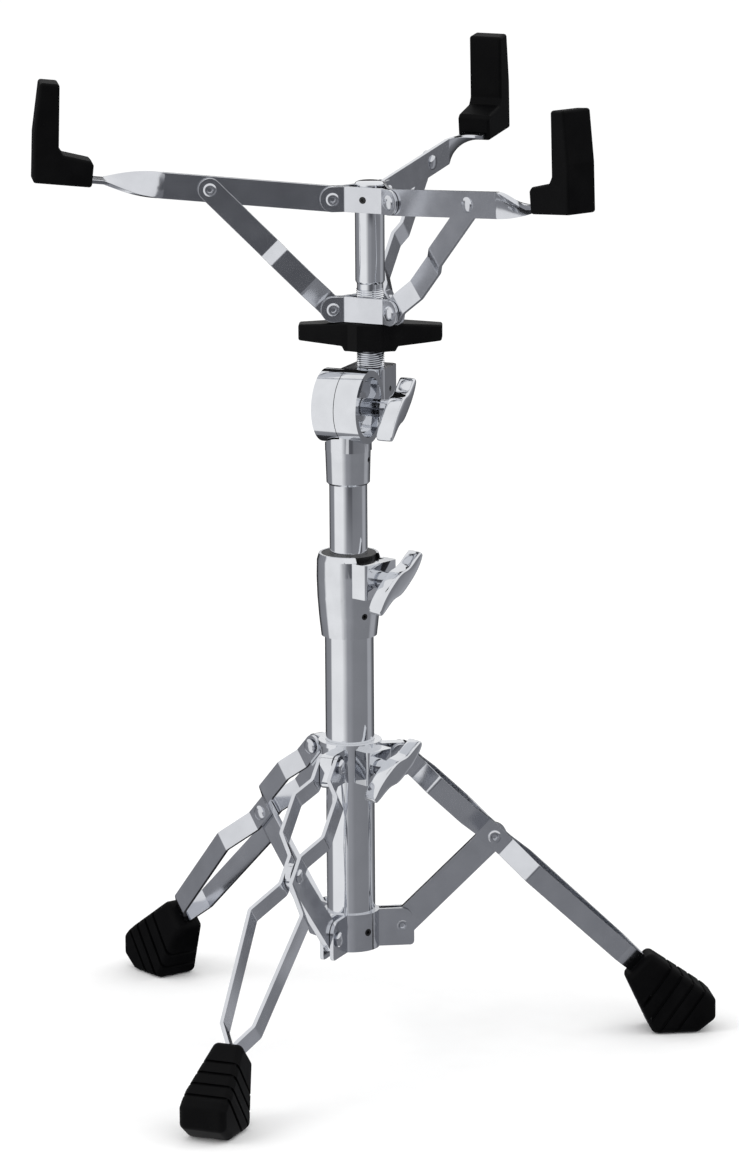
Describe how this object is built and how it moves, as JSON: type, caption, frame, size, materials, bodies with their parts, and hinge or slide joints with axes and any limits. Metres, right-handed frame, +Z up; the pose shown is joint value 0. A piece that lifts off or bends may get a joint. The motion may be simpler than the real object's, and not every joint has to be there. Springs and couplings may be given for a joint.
{
  "type": "snare drum stand",
  "caption": "Folding chrome tripod stand with a sliding mast, tilting joint and rubber-tipped basket arms that grip a snare drum.",
  "frame": {"origin": "on the floor under the middle of the bounding box; the base tube axis stands 7 mm in front of it", "axes": "+Z up the base tube, +X along the tilter axis towards its wing nut, -Y over the front leg"},
  "size_m": [0.3876, 0.448, 0.574],
  "materials": {
    "chrome_steel": "bright chrome plate on pressed steel and tube",
    "chrome_casting": "bright chrome plate on die casting",
    "black_rubber": "satin moulded rubber",
    "black_nylon": "satin nylon",
    "black_plastic": "satin moulded plastic"
  },
  "bodies": {
    "base": {"base_tube": "chrome_steel", "base_collar": "chrome_steel", "base_pivot_rivets": "chrome_steel", "height_collar": "chrome_casting", "height_bush": "black_nylon"},
    "brace_front": {"brace_front": "chrome_steel"},
    "leg_front": {"leg_front_strip_a": "chrome_steel", "leg_front_strip_b": "chrome_steel", "leg_front_rivet": "chrome_steel", "foot_front": "black_rubber"},
    "brace_right": {"brace_right": "chrome_steel"},
    "leg_right": {"leg_right_strip_a": "chrome_steel", "leg_right_strip_b": "chrome_steel", "leg_right_rivet": "chrome_steel", "foot_right": "black_rubber"},
    "brace_left": {"brace_left": "chrome_steel"},
    "leg_left": {"leg_left_strip_a": "chrome_steel", "leg_left_strip_b": "chrome_steel", "leg_left_rivet": "chrome_steel", "foot_left": "black_rubber"},
    "leg_collar": {"leg_collar": "chrome_casting", "leg_collar_rivets": "chrome_steel"},
    "leg_screw": {"leg_wing_bolt": "chrome_casting"},
    "height_screw": {"height_wing_bolt": "chrome_casting"},
    "guide": {"tube_guide": "black_nylon"},
    "mast": {"upper_tube": "chrome_steel", "tilter_base": "chrome_casting", "tilter_washer": "chrome_steel"},
    "tilter_screw": {"tilter_wing_nut": "chrome_casting"},
    "basket_head": {"tilter_head": "chrome_casting", "tilter_bolt": "chrome_steel", "basket_shaft": "chrome_steel", "upper_plate_front": "chrome_steel", "upper_plate_right": "chrome_steel", "upper_plate_left": "chrome_steel", "upper_hub_rivets": "chrome_steel"},
    "basket_nut": {"basket_nut": "black_plastic"},
    "arm_rear": {"arm_rear": "chrome_steel", "pad_rear": "black_rubber", "arm_rivet_rear": "chrome_steel"},
    "arm_left": {"arm_left": "chrome_steel", "pad_left": "black_rubber", "arm_rivet_left": "chrome_steel"},
    "arm_right": {"arm_right": "chrome_steel", "pad_right": "black_rubber", "arm_rivet_right": "chrome_steel"},
    "lower_hub": {"lower_plate_front": "chrome_steel", "lower_plate_right": "chrome_steel", "lower_plate_left": "chrome_steel", "lower_hub_rivets": "chrome_steel"},
    "strut_rear": {"strut_rear": "chrome_steel", "strut_rivet_rear": "chrome_steel"},
    "strut_left": {"strut_left": "chrome_steel", "strut_rivet_left": "chrome_steel"},
    "strut_right": {"strut_right": "chrome_steel", "strut_rivet_right": "chrome_steel"}
  },
  "joints": [
    {"name": "leg_fold", "type": "hinge", "parent": "base", "child": "brace_front", "pos_m": [0, -0.03693, 0.07075], "axis": [-1, 0, 0], "range_deg": [-12, 43]},
    {"name": "leg_front_swing", "type": "hinge", "parent": "brace_front", "child": "leg_front", "pos_m": [0, -0.09206, 0.12307], "axis": [1, 0, 0], "range_deg": [-25, 87]},
    {"name": "brace_right_fold", "type": "hinge", "parent": "base", "child": "brace_right", "pos_m": [0.02598, 0.00807, 0.07075], "axis": [0.5, -0.866, 0], "range_deg": [-12, 43]},
    {"name": "leg_right_swing", "type": "hinge", "parent": "brace_right", "child": "leg_right", "pos_m": [0.07372, 0.03564, 0.12307], "axis": [-0.5, 0.866, 0], "range_deg": [-25, 87]},
    {"name": "brace_left_fold", "type": "hinge", "parent": "base", "child": "brace_left", "pos_m": [-0.02598, 0.00807, 0.07075], "axis": [0.5, 0.866, 0], "range_deg": [-12, 43]},
    {"name": "leg_left_swing", "type": "hinge", "parent": "brace_left", "child": "leg_left", "pos_m": [-0.07372, 0.03564, 0.12307], "axis": [-0.5, -0.866, 0], "range_deg": [-25, 87]},
    {"name": "collar_level", "type": "hinge", "parent": "leg_front", "child": "leg_collar", "pos_m": [0, -0.03693, 0.17539], "axis": [-1, 0, 0], "range_deg": [-13, 44]},
    {"name": "leg_screw_turn", "type": "hinge", "parent": "leg_collar", "child": "leg_screw", "pos_m": [0.01903, -0.0158, 0.17233], "axis": [0.9063, -0.4226, 0], "continuous": true},
    {"name": "height_screw_turn", "type": "hinge", "parent": "base", "child": "height_screw", "pos_m": [0.01973, -0.01411, 0.2841], "axis": [0.9397, -0.342, 0], "continuous": true},
    {"name": "height_slide", "type": "slide", "parent": "base", "child": "guide", "axis": [0, 0, 1], "range_m": [-0.034, 0.11]},
    {"name": "mast_swivel", "type": "hinge", "parent": "guide", "child": "mast", "pos_m": [0, -0.00693, 0.12405], "axis": [0, 0, 1], "continuous": true},
    {"name": "tilt", "type": "hinge", "parent": "mast", "child": "basket_head", "pos_m": [0, -0.00693, 0.38405], "axis": [1, 0, 0], "range_deg": [-30, 50]},
    {"name": "tilter_screw_turn", "type": "hinge", "parent": "mast", "child": "tilter_screw", "pos_m": [0.02, -0.00693, 0.38405], "axis": [1, 0, 0], "continuous": true},
    {"name": "nut_turn", "type": "hinge", "parent": "basket_head", "child": "basket_nut", "pos_m": [0, 0.02757, 0.41956], "axis": [0, 0, 1], "continuous": true},
    {"name": "basket_fold", "type": "hinge", "parent": "basket_head", "child": "arm_rear", "pos_m": [0, 0.04967, 0.50106], "axis": [1, 0, 0], "range_deg": [0, 60]},
    {"name": "arm_left_fold", "type": "hinge", "parent": "basket_head", "child": "arm_left", "pos_m": [-0.01914, 0.01652, 0.50106], "axis": [-0.5, 0.866, 0], "range_deg": [0, 60]},
    {"name": "arm_right_fold", "type": "hinge", "parent": "basket_head", "child": "arm_right", "pos_m": [0.01914, 0.01652, 0.50106], "axis": [-0.5, -0.866, 0], "range_deg": [0, 60]},
    {"name": "lower_hub_slide", "type": "slide", "parent": "basket_head", "child": "lower_hub", "axis": [0, 0, 1], "range_m": [0, 0.03771]},
    {"name": "strut_rear_swing", "type": "hinge", "parent": "lower_hub", "child": "strut_rear", "pos_m": [0, 0.04967, 0.43606], "axis": [1, 0, 0], "range_deg": [0, 25.66]},
    {"name": "strut_left_swing", "type": "hinge", "parent": "lower_hub", "child": "strut_left", "pos_m": [-0.01914, 0.01652, 0.43606], "axis": [-0.5, 0.866, 0], "range_deg": [0, 25.66]},
    {"name": "strut_right_swing", "type": "hinge", "parent": "lower_hub", "child": "strut_right", "pos_m": [0.01914, 0.01652, 0.43606], "axis": [-0.5, -0.866, 0], "range_deg": [0, 25.66]}
  ],
  "couplings": [
    {"joint": "leg_front_swing", "follows": "leg_fold", "ratio": 2},
    {"joint": "brace_right_fold", "follows": "leg_fold", "ratio": 1},
    {"joint": "leg_right_swing", "follows": "leg_fold", "ratio": 2},
    {"joint": "brace_left_fold", "follows": "leg_fold", "ratio": 1},
    {"joint": "leg_left_swing", "follows": "leg_fold", "ratio": 2},
    {"joint": "collar_level", "follows": "leg_fold", "ratio": 1},
    {"joint": "arm_left_fold", "follows": "basket_fold", "ratio": 1},
    {"joint": "arm_right_fold", "follows": "basket_fold", "ratio": 1},
    {"joint": "lower_hub_slide", "follows": "basket_fold", "m_per_rad": 0.03553},
    {"joint": "strut_rear_swing", "follows": "basket_fold", "ratio": 0.4226},
    {"joint": "strut_left_swing", "follows": "basket_fold", "ratio": 0.4226},
    {"joint": "strut_right_swing", "follows": "basket_fold", "ratio": 0.4226}
  ]
}
